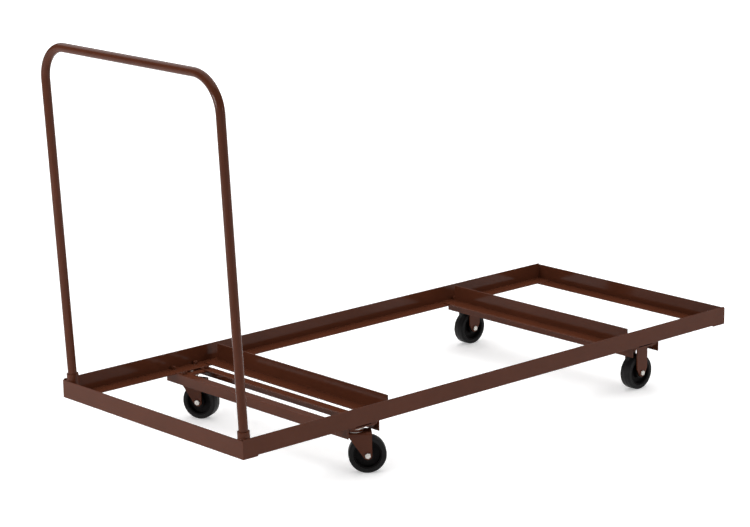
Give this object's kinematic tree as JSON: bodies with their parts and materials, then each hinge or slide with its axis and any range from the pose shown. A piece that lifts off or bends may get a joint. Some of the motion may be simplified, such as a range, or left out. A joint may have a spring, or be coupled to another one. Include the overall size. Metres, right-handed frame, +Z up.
{
  "type": "banquet table trolley",
  "caption": "Low angle-iron trolley for stacked folding tables, on swivel and rigid casters, with a lift-out bent-tube push handle at one end.",
  "frame": {"origin": "on the floor, under the middle of the overall box", "axes": "+X along the trolley from the handle end to the far end, +Y from the near side rail to the far side rail, +Z up"},
  "size_m": [1.9523, 0.8142, 1.1526],
  "materials": {
    "brown_paint": "semi-gloss brown powder coat",
    "zinc": "bright zinc plate",
    "race_balls": "polished steel",
    "wheel_core": "moulded black",
    "tyre": "matt black rubber"
  },
  "bodies": {
    "frame": {"near_side_rail": "brown_paint", "far_side_rail": "brown_paint", "handle_end_rail": "brown_paint", "far_end_rail": "brown_paint", "swivel_end_rest": "brown_paint", "rigid_end_rest": "brown_paint", "swivel_carrier_outer": "brown_paint", "swivel_carrier_inner": "brown_paint", "rigid_carrier_inner": "brown_paint", "rigid_carrier_outer": "brown_paint", "near_handle_socket": "brown_paint", "far_handle_socket": "brown_paint", "plate_bolts": "brown_paint", "plate_lock_washers": "brown_paint", "plate_nuts": "brown_paint", "near_swivel_plate": "brown_paint", "near_swivel_kingpin": "zinc", "near_swivel_race_washer": "zinc", "near_swivel_kingpin_nut": "zinc", "near_swivel_race_ring": "zinc", "near_swivel_race_balls": "race_balls", "near_rigid_plate": "brown_paint", "near_rigid_fork": "brown_paint", "near_rigid_axle_bolt": "zinc", "near_rigid_axle_nut": "zinc", "near_rigid_sleeve": "zinc", "near_rigid_thrust_washers": "zinc", "far_swivel_plate": "brown_paint", "far_swivel_kingpin": "zinc", "far_swivel_race_washer": "zinc", "far_swivel_kingpin_nut": "zinc", "far_swivel_race_ring": "zinc", "far_swivel_race_balls": "race_balls", "far_rigid_plate": "brown_paint", "far_rigid_fork": "brown_paint", "far_rigid_axle_bolt": "zinc", "far_rigid_axle_nut": "zinc", "far_rigid_sleeve": "zinc", "far_rigid_thrust_washers": "zinc"},
    "handle": {"push_handle": "brown_paint"},
    "near_swivel": {"near_swivel_fork": "brown_paint", "near_swivel_axle_bolt": "zinc", "near_swivel_axle_nut": "zinc", "near_swivel_sleeve": "zinc", "near_swivel_thrust_washers": "zinc"},
    "near_swivel_wheel": {"near_swivel_core": "wheel_core", "near_swivel_tyre": "tyre"},
    "near_rigid_wheel": {"near_rigid_core": "wheel_core", "near_rigid_tyre": "tyre"},
    "far_swivel": {"far_swivel_fork": "brown_paint", "far_swivel_axle_bolt": "zinc", "far_swivel_axle_nut": "zinc", "far_swivel_sleeve": "zinc", "far_swivel_thrust_washers": "zinc"},
    "far_swivel_wheel": {"far_swivel_core": "wheel_core", "far_swivel_tyre": "tyre"},
    "far_rigid_wheel": {"far_rigid_core": "wheel_core", "far_rigid_tyre": "tyre"}
  },
  "joints": [
    {"name": "handle_lift", "type": "slide", "parent": "frame", "child": "handle", "axis": [-0.0576, 0, 0.9983], "range_m": [0, 0.075]},
    {"name": "near_swivel_turn", "type": "hinge", "parent": "frame", "child": "near_swivel", "pos_m": [-0.50884, -0.3412, 0.1282], "axis": [0, 0, 1], "continuous": true},
    {"name": "near_swivel_roll", "type": "hinge", "parent": "near_swivel", "child": "near_swivel_wheel", "pos_m": [-0.48281, -0.36229, 0.0522], "axis": [0.6293, 0.7771, 0], "continuous": true},
    {"name": "near_rigid_roll", "type": "hinge", "parent": "frame", "child": "near_rigid_wheel", "pos_m": [0.61916, -0.3412, 0.0522], "axis": [0, 1, 0], "continuous": true},
    {"name": "far_swivel_turn", "type": "hinge", "parent": "frame", "child": "far_swivel", "pos_m": [-0.50884, 0.36839, 0.1282], "axis": [0, 0, 1], "continuous": true},
    {"name": "far_swivel_roll", "type": "hinge", "parent": "far_swivel", "child": "far_swivel_wheel", "pos_m": [-0.49522, 0.33778, 0.0522], "axis": [0.9135, 0.4067, 0], "continuous": true},
    {"name": "far_rigid_roll", "type": "hinge", "parent": "frame", "child": "far_rigid_wheel", "pos_m": [0.61916, 0.36839, 0.0522], "axis": [0, 1, 0], "continuous": true}
  ]
}
